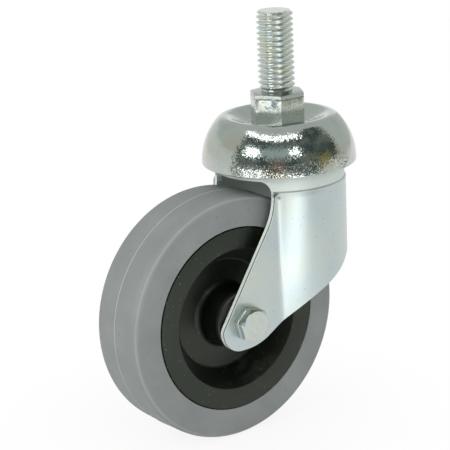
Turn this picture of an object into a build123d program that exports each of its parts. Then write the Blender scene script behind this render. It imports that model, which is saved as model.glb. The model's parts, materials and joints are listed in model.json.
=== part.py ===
"""Swivel castor with a threaded stem, a domed ball-race head and a rubber-tyred wheel.

Millimetres, +Z up. The origin lies on the swivel axis, at the seat face on top of the stem's
hexagon. The wheel trails towards -X, its axle lies along Y, and the bolt head is on the -Y side.
"""

import os
from math import acos, asin, atan2, cos, hypot, pi, radians, sin, sqrt, tan

from build123d import *

# ---------------------------------------------------------------- driving dimensions

# Threaded stem and kingpin
thread_diameter = 12.0
thread_length = 26.2
thread_chamfer = 1.0
stem_across_flats = 16.0
stem_hex_height = 10.5
stem_hex_crown_diameter = 15.0
stem_crown_slope = 10.0
kingpin_diameter = 12.0
kingpin_shoulder = 1.5
rivet_head_overhang = 2.0
rivet_head_height = 2.6
rivet_head_round = 1.8
rivet_washer_width = 2.0
rivet_washer_thickness = 1.2

# Ball races
ball_diameter = 4.0
ball_gap = 0.1
race_clearance = 0.03
groove_relief = 0.4
crown_groove_depth = 0.7
coined_groove_depth = 0.5
cup_groove_depth = 1.2

# Domed upper cup
dome_sheet = 1.5
dome_gap = 2.5
dome_side_round = 21.0
dome_skirt_height = 0.4
dome_rim_curl = 0.1
dish_depth = 3.05
dish_clearance = 0.7
dish_floor_round = 2.0
dish_wall_angle = 28.6

# Lower cup and dust seal
cup_sheet = 2.0
cup_land_width = 1.65
seal_thickness = 1.1
seal_clearance = 0.3

# Fork, drawn from one sheet
fork_sheet = 2.0
kingpin_clearance = 0.6
neck_land_width = 0.2
neck_corner_round = 2.1
neck_height = 15.6
ledge_step = 0.4
shoulder_height = 3.5
shoulder_growth = 1.2
window_height = 12.45
window_corner_round = 3.8
ledge_flank_blend = 4.0
ledge_flank_length = 1.5
foot_flank_blend = 10.0
foot_flank_slope = 14.5
foot_flank_round = 13.5
back_round_spread = 60.0
cheek_front_from_pivot = 14.9
cheek_front_angle = 57.2
cheek_front_from_axle = 7.45
cheek_knee_round = 20.0
toe_length = 9.5
toe_drop = 8.6
toe_front_round = 3.0
toe_round = 7.6
heel_round = 18.0
heel_from_axle = 9.5
cheek_bottom_angle = 31.6
edge_left_between_rounds = 0.1

# Wheel
wheel_diameter = 80.0
wheel_top_clearance = 3.24
wheel_back_clearance = 6.92
wheel_side_clearance = 3.25
tread_width = 22.0
tread_crown = 0.3
tyre_shoulder_round = 3.8
tyre_thickness = 10.0
rim_edge_chamfer = 0.35
rim_lip_width = 5.0
rim_rib_height = 2.5
flange_width = 6.9
recess_wall_width = 5.0
web_thickness = 5.2
web_thickness_at_hub = 6.4
hub_diameter = 19.4
hub_root_round = 2.0
recess_floor_round = 1.2
hub_bore_diameter = 11.0

# Axle
bolt_diameter = 6.0
bolt_projection = 4.7
bolt_end_chamfer = 0.8
bolt_across_flats = 10.0
bolt_head_height = 4.0
bolt_head_crown_diameter = 9.4
fastener_crown_slope = 30.0
bolt_head_turn = 43.9
axle_hole_clearance = 0.15
thread_clearance = 0.03
sleeve_wall = 0.9
sleeve_clearance = 0.1
bush_clearance = 0.06
bush_length = 9.0
bush_flange_thickness = 1.3
bush_edge_chamfer = 0.5
washer_clearance = 0.2
side_play = 0.2
thrust_washer_diameter = 15.0
thrust_washer_thickness = 0.5
nut_washer_diameter = 12.0
nut_washer_thickness = 1.6
nut_across_flats = 10.0
nut_hex_height = 4.4
nut_collar_diameter = 9.2
nut_height = 6.2
nut_turn = 12.0
insert_diameter = 7.6
insert_thickness = 1.4
insert_lip = 0.4

# ---------------------------------------------------------------- derived sizes

ball_radius = ball_diameter / 2
groove_radius = ball_radius + groove_relief
race_stack = ball_diameter + 2 * race_clearance
kingpin_radius = kingpin_diameter / 2
kingpin_neck_radius = kingpin_radius - kingpin_shoulder


def groove_half_width(depth):
    """Half the mouth of a ball groove pressed to this depth."""
    return sqrt(groove_radius**2 - (groove_radius - depth) ** 2)


def balls_that_fit(track_radius):
    """The most balls that a track holds with ball_gap or more between them."""
    return int(pi / asin((ball_diameter + ball_gap) / (2 * track_radius)))


# Out from the swivel axis: the dish takes the hexagon, and the upper track runs round the dish
dome_crest_round = groove_radius + dome_sheet
dish_wall = radians(dish_wall_angle)
dish_rounds = dome_crest_round + dish_floor_round
dish_wall_length = (dish_depth - dish_rounds * (1 - cos(dish_wall))) / sin(dish_wall)
dish_floor_radius = stem_across_flats / sqrt(3) + dish_clearance
upper_track_radius = (
    dish_floor_radius + dish_rounds * sin(dish_wall) + dish_wall_length * cos(dish_wall)
)
crown_mouth = groove_half_width(crown_groove_depth)
cup_mouth = groove_half_width(cup_groove_depth)
lower_track_radius = kingpin_radius + cup_land_width + cup_mouth
neck_radius = upper_track_radius + crown_mouth + neck_land_width + neck_corner_round
neck_inner_radius = neck_radius - fork_sheet
skirt_radius = neck_radius + ledge_step
skirt_inner_radius = skirt_radius - fork_sheet
dome_radius = neck_radius + dome_gap + dome_sheet

# Down the swivel axis: each level from the piece above it
dish_floor_z = -stem_hex_height
dome_crest_z = dish_floor_z + dish_depth
upper_ball_z = dome_crest_z - dome_sheet - race_clearance - ball_radius
crown_groove_z = dome_crest_z - dome_sheet - race_stack
crown_top_z = crown_groove_z + crown_groove_depth
crown_under_z = crown_top_z - fork_sheet
coined_groove_z = crown_under_z + coined_groove_depth
lower_ball_z = coined_groove_z - race_clearance - ball_radius
cup_groove_z = coined_groove_z - race_stack
cup_top_z = cup_groove_z + cup_groove_depth
cup_under_z = cup_top_z - cup_sheet
rivet_washer_z = cup_under_z - rivet_washer_thickness
ledge_z = crown_top_z - neck_height
window_top_z = crown_top_z - window_height

# The wheel runs clear of the window's top edge and of the fork's back
wheel_radius = wheel_diameter / 2
rim_radius = wheel_radius - tyre_thickness
recess_mouth_radius = rim_radius - flange_width
recess_floor_radius = recess_mouth_radius - recess_wall_width
hub_radius = hub_diameter / 2
axle_z = window_top_z - wheel_top_clearance - wheel_radius
swivel_offset = wheel_radius + wheel_back_clearance - skirt_inner_radius

# Out along the axle: cheeks, bushes and nut
half_tread = tread_width / 2
half_gap = half_tread + wheel_side_clearance
cheek_face = half_gap + fork_sheet
bush_face = half_gap - thrust_washer_thickness - side_play
hub_end = bush_face - bush_flange_thickness
bolt_radius = bolt_diameter / 2
sleeve_bore_radius = bolt_radius + sleeve_clearance
sleeve_radius = sleeve_bore_radius + sleeve_wall
tapped_radius = bolt_radius + thread_clearance
nut_seat = cheek_face + nut_washer_thickness
nut_end = nut_seat + nut_height

axle_point = (-swivel_offset, 0, axle_z)
axle_line = Axis(axle_point, (0, 1, 0))
# Half section of the wheel: local X runs up from the axle, local Y along it
wheel_section = Plane(origin=axle_point, x_dir=(0, 0, 1), z_dir=(-1, 0, 0))


def axle_station(y, facing):
    """A plane across the axle at y, whose normal points along facing * Y."""
    return Plane(origin=(-swivel_offset, y, axle_z), x_dir=(1, 0, 0), z_dir=(0, facing, 0))


def crown_cone(across_flats, height, crown_diameter, slope):
    """The turned envelope that bevels a hexagon's top corners."""
    corner_radius = across_flats / sqrt(3)
    drop = (corner_radius - crown_diameter / 2) * tan(radians(slope))
    with BuildPart() as envelope:
        with BuildSketch(Plane.XZ):
            with BuildLine():
                Polyline(
                    (0, 0),
                    (corner_radius, 0),
                    (corner_radius, height - drop),
                    (crown_diameter / 2, height),
                    (0, height),
                    close=True,
                )
            make_face()
        revolve(axis=Axis.Z)
    return envelope.part


stem_crown = crown_cone(
    stem_across_flats, stem_hex_height, stem_hex_crown_diameter, stem_crown_slope
)
bolt_crown = crown_cone(
    bolt_across_flats, bolt_head_height, bolt_head_crown_diameter, fastener_crown_slope
)
nut_crown = crown_cone(nut_across_flats, nut_hex_height, nut_collar_diameter, fastener_crown_slope)

# ---------------------------------------------------------------- fixed head

# The stem is one piece: thread, hexagon, kingpin, and the neck riveted over below the cup
with BuildPart() as stem:
    with BuildSketch(Plane.XY.offset(dish_floor_z)):
        RegularPolygon(stem_across_flats / 2, 6, major_radius=False)
    extrude(amount=stem_hex_height)
    add(stem_crown.moved(Location((0, 0, dish_floor_z))), mode=Mode.INTERSECT)
    with BuildSketch(Plane.XY):
        Circle(thread_diameter / 2)
    extrude(amount=thread_length)
    chamfer(stem.faces().sort_by(Axis.Z)[-1].edges(), thread_chamfer)
    with BuildSketch(Plane.XY.offset(dish_floor_z)):
        Circle(kingpin_radius)
    extrude(amount=cup_top_z - dish_floor_z)
    with BuildSketch(Plane.XY.offset(cup_top_z)):
        Circle(kingpin_neck_radius)
    extrude(amount=rivet_washer_z - cup_top_z)
    with BuildSketch(Plane.XY.offset(rivet_washer_z)):
        Circle(kingpin_neck_radius + rivet_head_overhang)
    extrude(amount=-rivet_head_height)
    fillet(stem.faces().sort_by(Axis.Z)[0].edges(), rivet_head_round)
stem.part.label = "stem"

# The dome is pressed from one disc: a dish for the stem, and a crest that backs the ball track
crest_centre_z = dome_crest_z - dome_crest_round
side_centre_r = dome_radius - dome_side_round
arc_gap = dome_side_round - dome_crest_round
crest_lean = (upper_track_radius - side_centre_r) / arc_gap
side_centre_z = crest_centre_z - arc_gap * sqrt(1 - crest_lean**2)
dome_rim_z = side_centre_z - dome_skirt_height

with BuildPart() as dome_cup:
    with BuildSketch(Plane.XZ):
        with BuildLine():
            dish_floor = Line((kingpin_radius, dish_floor_z), (dish_floor_radius, dish_floor_z))
            dish_turn = TangentArc(
                dish_floor @ 1,
                (
                    dish_floor_radius + dish_floor_round * sin(dish_wall),
                    dish_floor_z + dish_floor_round * (1 - cos(dish_wall)),
                ),
                tangent=(1, 0),
            )
            dish_side = Line(
                dish_turn @ 1,
                (
                    upper_track_radius - dome_crest_round * sin(dish_wall),
                    crest_centre_z + dome_crest_round * cos(dish_wall),
                ),
            )
            crest = TangentArc(
                dish_side @ 1,
                (
                    upper_track_radius + dome_crest_round * crest_lean,
                    crest_centre_z + dome_crest_round * sqrt(1 - crest_lean**2),
                ),
                tangent=dish_side % 1,
            )
            flank = TangentArc(crest @ 1, (dome_radius, side_centre_z), tangent=crest % 1)
            Line(flank @ 1, (dome_radius - dome_rim_curl, dome_rim_z))
            offset(amount=dome_sheet, side=Side.RIGHT, closed=True)
        make_face()
    revolve(axis=Axis.Z)
dome_cup.part.label = "dome_cup"

# The seal is sprung into the dome above its rim, and clears the turning neck
seal_top_z = side_centre_z + seal_thickness
seal_radius = side_centre_r + sqrt((dome_side_round - dome_sheet) ** 2 - seal_thickness**2)

with BuildPart() as dust_seal:
    with BuildSketch(Plane.XY.offset(seal_top_z)):
        Circle(seal_radius)
        Circle(neck_radius + seal_clearance, mode=Mode.SUBTRACT)
    extrude(amount=-seal_thickness)
dust_seal.part.label = "dust_seal"

# The lower cup holds the lower balls up against the crown
with BuildPart() as lower_cup:
    with BuildSketch(Plane.XZ):
        with BuildLine():
            cup_rim_mouth = groove_half_width(lower_ball_z - cup_groove_z)
            Line(
                (kingpin_neck_radius, cup_top_z),
                (lower_track_radius - cup_mouth, cup_top_z),
            )
            ThreePointArc(
                (lower_track_radius - cup_mouth, cup_top_z),
                (lower_track_radius, cup_groove_z),
                (lower_track_radius + cup_rim_mouth, lower_ball_z),
            )
            offset(amount=cup_sheet, side=Side.RIGHT, closed=True)
        make_face()
    revolve(axis=Axis.Z)
lower_cup.part.label = "lower_cup"

with BuildPart() as rivet_washer:
    with BuildSketch(Plane.XY.offset(rivet_washer_z)):
        Circle(kingpin_neck_radius + rivet_washer_width)
        Circle(kingpin_neck_radius, mode=Mode.SUBTRACT)
    extrude(amount=rivet_washer_thickness)
rivet_washer.part.label = "rivet_washer"

# ---------------------------------------------------------------- ball rows

with BuildPart(Plane.XY.offset(upper_ball_z)) as upper_balls:
    with PolarLocations(upper_track_radius, balls_that_fit(upper_track_radius)):
        Sphere(ball_radius)
upper_balls.part.label = "upper_balls"

with BuildPart(Plane.XY.offset(lower_ball_z)) as lower_balls:
    with PolarLocations(lower_track_radius, balls_that_fit(lower_track_radius)):
        Sphere(ball_radius)
lower_balls.part.label = "lower_balls"

# ---------------------------------------------------------------- fork

# The cheek in side view. Its straight edges are set out from the axle.
front_slope = radians(cheek_front_angle)
bottom_slope = radians(cheek_bottom_angle)
toe_x = -swivel_offset - toe_length
toe_z = axle_z - toe_drop
front_foot_x = -swivel_offset - cheek_front_from_axle * sin(front_slope)
front_foot_z = axle_z + cheek_front_from_axle * cos(front_slope)
knee_z = front_foot_z + (-cheek_front_from_pivot - front_foot_x) * tan(front_slope)
toe_top_z = front_foot_z + (toe_x - front_foot_x) * tan(front_slope)
heel_foot_x = -swivel_offset + heel_from_axle * sin(bottom_slope)
heel_foot_z = axle_z - heel_from_axle * cos(bottom_slope)
heel_x = heel_foot_x + (toe_z - heel_foot_z) / tan(bottom_slope)
far = 2 * skirt_radius
bottom_end_z = heel_foot_z + (far - heel_foot_x) * tan(bottom_slope)


def fitted_round(radius, turn, room):
    """A corner's radius, or the most that fits in this length of its edge."""
    return min(radius, (room - edge_left_between_rounds) / tan(turn / 2))


# Two rounds share each edge between corners: the first takes its size, the next what is left
square_turn = radians(90)
front_turn = square_turn - front_slope
upright_edge = ledge_z - knee_z
toe_edge = toe_top_z - toe_z
bottom_edge = heel_x - toe_x
knee_round = fitted_round(cheek_knee_round, front_turn, upright_edge)
toe_front = fitted_round(toe_front_round, front_turn, toe_edge / 2)
toe_corner = fitted_round(
    toe_round, square_turn, min(toe_edge - toe_front * tan(front_turn / 2), bottom_edge)
)
heel_corner = fitted_round(heel_round, bottom_slope, bottom_edge - toe_corner)


def fork_plan(inset, flank_round, blend, slope):
    """The fork seen from above: a round back, a flank on each side, and two flat cheeks."""
    back_radius = skirt_radius - inset
    flank_radius = flank_round - inset
    half_width = cheek_face - inset
    centre_shift = back_radius - flank_radius
    flank_end = (
        centre_shift * cos(back_spread) - flank_radius * sin(slope),
        centre_shift * sin(back_spread) + flank_radius * cos(slope),
    )
    crease_x = flank_end[0] - (flank_end[1] - half_width) / tan(slope)
    setback = (blend + inset) * tan(slope / 2)
    with BuildSketch() as plan:
        with BuildLine():
            Polyline((-far, 0), (-far, half_width), (crease_x - setback, half_width))
            flank_blend = TangentArc(
                (crease_x - setback, half_width),
                (crease_x + setback * cos(slope), half_width + setback * sin(slope)),
                tangent=(1, 0),
            )
            flank = Line(flank_blend @ 1, flank_end)
            flank_turn = TangentArc(
                flank_end,
                (back_radius * cos(back_spread), back_radius * sin(back_spread)),
                tangent=flank % 1,
            )
            TangentArc(flank_turn @ 1, (back_radius, 0), tangent=flank_turn % 1)
            mirror(about=Plane.XZ)
        make_face()
    return plan.sketch


# The window is cut square to the neck's wall, so in plan it widens from the swivel axis
window_start = neck_inner_radius / 2
window_spread = half_gap / cheek_front_from_pivot
window_depth = window_top_z - ledge_z + fork_sheet
window_side_room = window_start * sin(atan2(half_gap, cheek_front_from_pivot))
window_round = fitted_round(
    window_corner_round, square_turn, min(window_depth, window_side_room)
)

with BuildPart() as window_cutter:
    with BuildSketch(Plane.XY.offset(window_top_z)):
        Polygon(
            (-window_start, window_start * window_spread),
            (-far, far * window_spread),
            (-far, -far * window_spread),
            (-window_start, -window_start * window_spread),
            align=None,
        )
    extrude(amount=-window_depth)
    window_top = window_cutter.faces().sort_by(Axis.Z)[-1]
    fillet(window_top.edges().filter_by(Axis.Y, reverse=True), window_round)

# At the ledge the back is a full round, and towards the foot its flanks are drawn in flatter
back_spread = radians(back_round_spread)
blend_reach = skirt_radius + ledge_flank_blend
ledge_slope = acos(
    (cheek_face + ledge_flank_blend) / hypot(blend_reach, ledge_flank_length)
) - atan2(ledge_flank_length, blend_reach)
ledge_flank = (skirt_radius, ledge_flank_blend, ledge_slope)
foot_flank = (foot_flank_round, foot_flank_blend, radians(foot_flank_slope))

with BuildPart() as fork:
    with BuildSketch(Plane.XY.offset(ledge_z)):
        add(fork_plan(0, *ledge_flank))
    extrude(amount=-fork_sheet)
    with BuildSketch(Plane.XY.offset(ledge_z - fork_sheet)):
        add(fork_plan(0, *ledge_flank))
    with BuildSketch(Plane.XY.offset(toe_z)):
        add(fork_plan(0, *foot_flank))
    loft(ruled=True)
    # A low ledge rings the neck, and a short cone draws the cheeks' top corners in to it
    with BuildSketch(Plane.XZ):
        with BuildLine():
            Polyline(
                (0, ledge_z),
                (neck_radius, ledge_z),
                (skirt_radius, ledge_z - ledge_step),
                (skirt_radius + shoulder_growth, ledge_z - shoulder_height),
                (2 * far, ledge_z - shoulder_height),
                (2 * far, toe_z),
                (0, toe_z),
                close=True,
            )
        make_face()
    revolve(axis=Axis.Z, mode=Mode.INTERSECT)
    with BuildSketch(Plane.XY.offset(ledge_z)):
        Circle(neck_inner_radius)
    extrude(amount=-fork_sheet, mode=Mode.SUBTRACT)
    with BuildSketch(Plane.XY.offset(ledge_z - fork_sheet)):
        add(fork_plan(fork_sheet, *ledge_flank))
    with BuildSketch(Plane.XY.offset(toe_z)):
        add(fork_plan(fork_sheet, *foot_flank))
    loft(ruled=True, mode=Mode.SUBTRACT)
    # Neck and crown, with the upper ball groove pressed in
    with BuildSketch(Plane.XZ):
        with BuildLine():
            Line(
                (kingpin_radius + kingpin_clearance, crown_top_z),
                (upper_track_radius - crown_mouth, crown_top_z),
            )
            ThreePointArc(
                (upper_track_radius - crown_mouth, crown_top_z),
                (upper_track_radius, crown_groove_z),
                (upper_track_radius + crown_mouth, crown_top_z),
            )
            Line(
                (upper_track_radius + crown_mouth, crown_top_z),
                (neck_radius - neck_corner_round, crown_top_z),
            )
            neck_turn = TangentArc(
                (neck_radius - neck_corner_round, crown_top_z),
                (neck_radius, crown_top_z - neck_corner_round),
                tangent=(1, 0),
            )
            Line(neck_turn @ 1, (neck_radius, ledge_z))
            offset(amount=fork_sheet, side=Side.RIGHT, closed=True)
        make_face()
    revolve(axis=Axis.Z)
    # Lower ball groove, coined into the crown's underside
    with BuildSketch(Plane.XZ):
        with Locations((lower_track_radius, coined_groove_z - groove_radius)):
            Circle(groove_radius)
    revolve(axis=Axis.Z, mode=Mode.SUBTRACT)
    add(window_cutter.part, mode=Mode.SUBTRACT)
    # Below the neck, both cheeks are cropped in side view
    with BuildSketch(Plane.XZ):
        with BuildLine():
            FilletPolyline(
                (-cheek_front_from_pivot, ledge_z),
                (-cheek_front_from_pivot, knee_z),
                (toe_x, toe_top_z),
                (toe_x, toe_z),
                (heel_x, toe_z),
                (far, bottom_end_z),
                radius=[knee_round, toe_front, toe_corner, heel_corner],
            )
            Polyline(
                (far, bottom_end_z),
                (far, 0),
                (-far, 0),
                (-far, ledge_z),
                (-cheek_front_from_pivot, ledge_z),
            )
        make_face()
    extrude(amount=far, both=True, mode=Mode.INTERSECT)
    with BuildSketch(axle_station(cheek_face, 1)):
        Circle(bolt_radius + axle_hole_clearance)
    extrude(amount=-2 * cheek_face, mode=Mode.SUBTRACT)
fork.part.label = "fork"

# ---------------------------------------------------------------- wheel

hub_root = (hub_radius, web_thickness_at_hub / 2)
recess_floor = (recess_floor_radius, web_thickness / 2)
rim_edge = (rim_radius, half_tread)
tread_edge = (wheel_radius - tread_crown, half_tread)

# One moulding: hub, web, dished recess and rim. It is the same on both sides of its mid plane.
with BuildPart() as wheel_centre:
    with BuildSketch(wheel_section) as centre_section:
        with BuildLine():
            Polyline(
                (hub_bore_diameter / 2, 0),
                (hub_bore_diameter / 2, hub_end),
                (hub_radius, hub_end),
                hub_root,
                recess_floor,
                (recess_mouth_radius, half_tread),
                rim_edge,
                (rim_radius, half_tread - rim_lip_width),
                (rim_radius + rim_rib_height, half_tread - rim_lip_width),
                (rim_radius + rim_rib_height, 0),
                close=True,
            )
        make_face()
        fillet(centre_section.vertices().sort_by_distance(hub_root)[0], hub_root_round)
        fillet(centre_section.vertices().sort_by_distance(recess_floor)[0], recess_floor_round)
        chamfer(centre_section.vertices().sort_by_distance(rim_edge)[0], rim_edge_chamfer)
        mirror(about=Plane.XZ)
    revolve(axis=axle_line)
wheel_centre.part.label = "wheel_centre"

# The tyre grips the rim's rib
with BuildPart() as tyre:
    with BuildSketch(wheel_section) as tyre_section:
        with BuildLine():
            Polyline(
                (wheel_radius, 0),
                (rim_radius + rim_rib_height, 0),
                (rim_radius + rim_rib_height, half_tread - rim_lip_width),
                (rim_radius, half_tread - rim_lip_width),
                rim_edge,
                tread_edge,
            )
            ThreePointArc(
                tread_edge,
                (wheel_radius - tread_crown / 4, half_tread / 2),
                (wheel_radius, 0),
            )
        make_face()
        fillet(tyre_section.vertices().sort_by_distance(tread_edge)[0], tyre_shoulder_round)
        chamfer(tyre_section.vertices().sort_by_distance(rim_edge)[0], rim_edge_chamfer)
        mirror(about=Plane.XZ)
    revolve(axis=axle_line)
tyre.part.label = "tyre"

# ---------------------------------------------------------------- axle

# A flanged bush in each end of the hub, and a thrust washer between it and the cheek
bushes = {}
thrust_washers = {}
for side, facing in (("bolt_side", -1), ("nut_side", 1)):
    with BuildPart() as bush:
        with BuildSketch(axle_station(facing * hub_end, facing)):
            Circle(hub_bore_diameter / 2)
        extrude(amount=-bush_length)
        with BuildSketch(axle_station(facing * hub_end, facing)):
            Circle(hub_radius)
        extrude(amount=bush_flange_thickness)
        chamfer(bush.faces().sort_by(Axis.Y)[-1 if facing > 0 else 0].edges(), bush_edge_chamfer)
        with BuildSketch(axle_station(facing * bush_face, facing)):
            Circle(sleeve_radius + bush_clearance)
        extrude(amount=-bush_length - bush_flange_thickness, mode=Mode.SUBTRACT)
    bush.part.label = f"bush_{side}"
    bushes[side] = bush

    with BuildPart() as thrust_washer:
        with BuildSketch(axle_station(facing * half_gap, facing)):
            Circle(thrust_washer_diameter / 2)
            Circle(sleeve_radius + washer_clearance, mode=Mode.SUBTRACT)
        extrude(amount=-thrust_washer_thickness)
    thrust_washer.part.label = f"thrust_washer_{side}"
    thrust_washers[side] = thrust_washer

# The sleeve keeps the cheeks apart when the bolt is tightened
with BuildPart() as axle_sleeve:
    with BuildSketch(axle_station(half_gap, 1)):
        Circle(sleeve_radius)
        Circle(sleeve_bore_radius, mode=Mode.SUBTRACT)
    extrude(amount=-2 * half_gap)
axle_sleeve.part.label = "axle_sleeve"

with BuildPart() as axle_bolt:
    with BuildSketch(axle_station(-cheek_face, -1)):
        RegularPolygon(
            bolt_across_flats / 2, 6, major_radius=False, rotation=bolt_head_turn
        )
    extrude(amount=bolt_head_height)
    add(bolt_crown.moved(axle_station(-cheek_face, -1).location), mode=Mode.INTERSECT)
    with BuildSketch(axle_station(-cheek_face, -1)):
        Circle(bolt_radius)
    extrude(amount=-cheek_face - nut_end - bolt_projection)
    chamfer(axle_bolt.faces().sort_by(Axis.Y)[-1].edges(), bolt_end_chamfer)
axle_bolt.part.label = "axle_bolt"

with BuildPart() as nut_washer:
    with BuildSketch(axle_station(cheek_face, 1)):
        Circle(nut_washer_diameter / 2)
        Circle(bolt_radius + washer_clearance, mode=Mode.SUBTRACT)
    extrude(amount=nut_washer_thickness)
nut_washer.part.label = "nut_washer"

# Lock nut: a hexagon with a round collar that is rolled over its plastic insert
insert_seat = nut_end - insert_lip
with BuildPart() as axle_nut:
    with BuildSketch(axle_station(nut_seat, 1)):
        RegularPolygon(nut_across_flats / 2, 6, major_radius=False, rotation=nut_turn)
    extrude(amount=nut_hex_height)
    add(nut_crown.moved(axle_station(nut_seat, 1).location), mode=Mode.INTERSECT)
    with BuildSketch(axle_station(nut_seat, 1)):
        Circle(nut_collar_diameter / 2)
    extrude(amount=nut_height)
    fillet(axle_nut.faces().sort_by(Axis.Y)[-1].edges(), insert_lip)
    with BuildSketch(axle_station(nut_seat, 1)):
        Circle(tapped_radius)
    extrude(amount=nut_height, mode=Mode.SUBTRACT)
    with BuildSketch(axle_station(insert_seat, 1)):
        Circle(insert_diameter / 2)
    extrude(amount=-insert_thickness, mode=Mode.SUBTRACT)
axle_nut.part.label = "axle_nut"

with BuildPart() as nut_insert:
    with BuildSketch(axle_station(insert_seat, 1)):
        Circle(insert_diameter / 2)
        Circle(tapped_radius, mode=Mode.SUBTRACT)
    extrude(amount=-insert_thickness)
nut_insert.part.label = "nut_insert"

# ---------------------------------------------------------------- write the pieces

pieces = [stem, dome_cup, dust_seal, lower_cup, rivet_washer, upper_balls, lower_balls, fork]
pieces += [wheel_centre, tyre, axle_sleeve, axle_bolt, nut_washer, axle_nut, nut_insert]
pieces += [*bushes.values(), *thrust_washers.values()]

os.makedirs("parts", exist_ok=True)
for piece in pieces:
    export_step(piece.part, f"parts/{piece.part.label}.step")
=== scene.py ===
"""Finish and detail for the swivel castor: zinc-plated head, fork and fixings, grey rubber tyre.

Lengths are worked out in millimetres in the part's own frame and scaled to metres by MM. Only
the studio round the castor is laid out in metres.
The origin is on the swivel axis at the seat on top of the stem's hexagon, +Z up, the wheel
trails towards -X and the bolt head is on the -Y side.
"""

import json
import math
import random

import bmesh
import bpy
from mathutils import Matrix, Vector


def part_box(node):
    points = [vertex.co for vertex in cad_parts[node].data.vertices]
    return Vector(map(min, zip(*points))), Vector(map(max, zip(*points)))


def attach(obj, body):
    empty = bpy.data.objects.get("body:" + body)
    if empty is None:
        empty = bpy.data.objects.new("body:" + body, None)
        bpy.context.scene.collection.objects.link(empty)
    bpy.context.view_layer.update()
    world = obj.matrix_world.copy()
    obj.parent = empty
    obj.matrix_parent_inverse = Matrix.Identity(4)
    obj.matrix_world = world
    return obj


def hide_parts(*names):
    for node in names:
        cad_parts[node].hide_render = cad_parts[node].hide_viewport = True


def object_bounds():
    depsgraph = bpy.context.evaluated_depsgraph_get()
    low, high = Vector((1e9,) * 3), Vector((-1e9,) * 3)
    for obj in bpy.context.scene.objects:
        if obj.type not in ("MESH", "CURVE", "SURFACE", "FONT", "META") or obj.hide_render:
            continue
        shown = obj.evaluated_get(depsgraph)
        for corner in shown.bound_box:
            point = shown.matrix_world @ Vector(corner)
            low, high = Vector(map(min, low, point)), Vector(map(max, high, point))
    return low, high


MM = 0.001

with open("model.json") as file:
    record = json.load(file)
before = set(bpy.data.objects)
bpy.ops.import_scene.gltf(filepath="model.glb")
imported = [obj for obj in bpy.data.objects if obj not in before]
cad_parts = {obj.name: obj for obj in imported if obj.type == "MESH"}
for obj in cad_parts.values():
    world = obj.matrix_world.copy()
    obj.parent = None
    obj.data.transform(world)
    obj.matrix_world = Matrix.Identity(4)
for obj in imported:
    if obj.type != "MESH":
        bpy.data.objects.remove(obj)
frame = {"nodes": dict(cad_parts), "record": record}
cad_nodes = frame["nodes"]
cad_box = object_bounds()

# ---------------------------------------------------------------- sizes, millimetres

# Slopes, angles and turns are in degrees. Heights, and the places of the scratches, the painted
# shade at the fork's pinch and the scuffs, are in the part's frame.

THREAD_DIAMETER = 11.8
THREAD_ROOT_DIAMETER = 9.9
THREAD_PITCH = 1.75
THREAD_LENGTH = 26.0
THREAD_START = 0.55
THREAD_END_DIAMETER = 10.1
UNDERCUT_HEIGHT = 1.0

STEM_ACROSS_FLATS = 16.0
STEM_HEX_HEIGHT = 10.5
STEM_CROWN_DIAMETER = 15.0
STEM_CROWN_SLOPE = 10.0
STEM_FLATS_TOP = -1.0
STEM_BURR_LINE = -1.55
STEM_TRIM_LINE = -6.9
STEM_TRIM_STEP = 0.05
STEM_FOOT_CHAMFER = 0.2
STEM_CORNER_ROUND = 0.25

KINGPIN_DIAMETER = 12.0
KINGPIN_NECK_DIAMETER = 9.0
KINGPIN_NECK_LENGTH = 3.2
RIVET_HEAD_DIAMETER = 13.0
RIVET_HEAD_HEIGHT = 2.6
RIVET_HEAD_ROUND = 1.8
RIVET_DIMPLE_RADIUS = 2.4
RIVET_DIMPLE_FLOOR_RADIUS = 1.6
RIVET_DIMPLE_FLOOR_DEPTH = 0.5
RIVET_DIMPLE_DEPTH = 0.6

DOME_SHEET = 1.5
DOME_CREST_ROUND = 3.9
DOME_SIDE_ROUND = 21.0
DOME_EDGE_ROUND = 0.3
DOME_EDGE_INSET = 0.06
DOME_EDGE_CHAMFER = 0.12
DISH_FLOOR_ROUND = 2.0
DISH_CLEARANCE = 0.7
DISH_WALL_ANGLE = 28.6
DOME_FINE_GRIT_Z = -14.0
DOME_COARSE_GRIT_Z = -20.0
DOME_SCRATCHES = (7.0, -23.8, -20.6)

LEDGE_Z = -27.9
CHEEK_FACE = 16.25
TORN_LINE_DEPTH = 0.55
# Centre of the painted shade where the fork's ledge meets the near cheek's front edge.
PINCH_SHADE_PLACE = (-14.8, -16.2, -29.7)

AXLE_X = -27.49
AXLE_Z = -68.0
RIM_RADIUS = 30.0
RIM_BED_RADIUS = 32.5

TYRE_CROWN = 0.3
TYRE_SHOULDER_DROP = 0.45
TYRE_SHOULDER_ROUND = 2.6
TYRE_SHOULDER_HIGHLIGHT = 10.05
TYRE_SIDE_ROUND = 3.0
TYRE_SIDE_STEP = 2.8
TYRE_INNER_ROUND = 0.35
TYRE_LIP = 5.0
TREAD_EDGE = 3.8
TREAD_DROP = 0.14
RIDGE_CREST_DROP = 0.002
RIDGE_FLANK_DROP = 0.024
RIDGE_FLANK = 0.12
RIDGE_FOOT = 0.22

HUB_BORE_RADIUS = 5.5
HUB_RADIUS = 9.7
HUB_END_ROUND = 0.25
HUB_FILLET = 2.0
WEB_HALF_AT_HUB = 3.2
WEB_HALF_AT_WALL = 2.6
RECESS_FLOOR_RADIUS = 18.1
RECESS_FLOOR_FILLET = 1.2
RECESS_MOUTH_RADIUS = 23.1
FLANGE_HALF = 11.0
FLANGE_EDGE_ROUND = 0.4
RIM_BED_HALF = 6.0
RECESS_SCUFFS = (-20.0, -8.0, -88.0)

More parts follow.
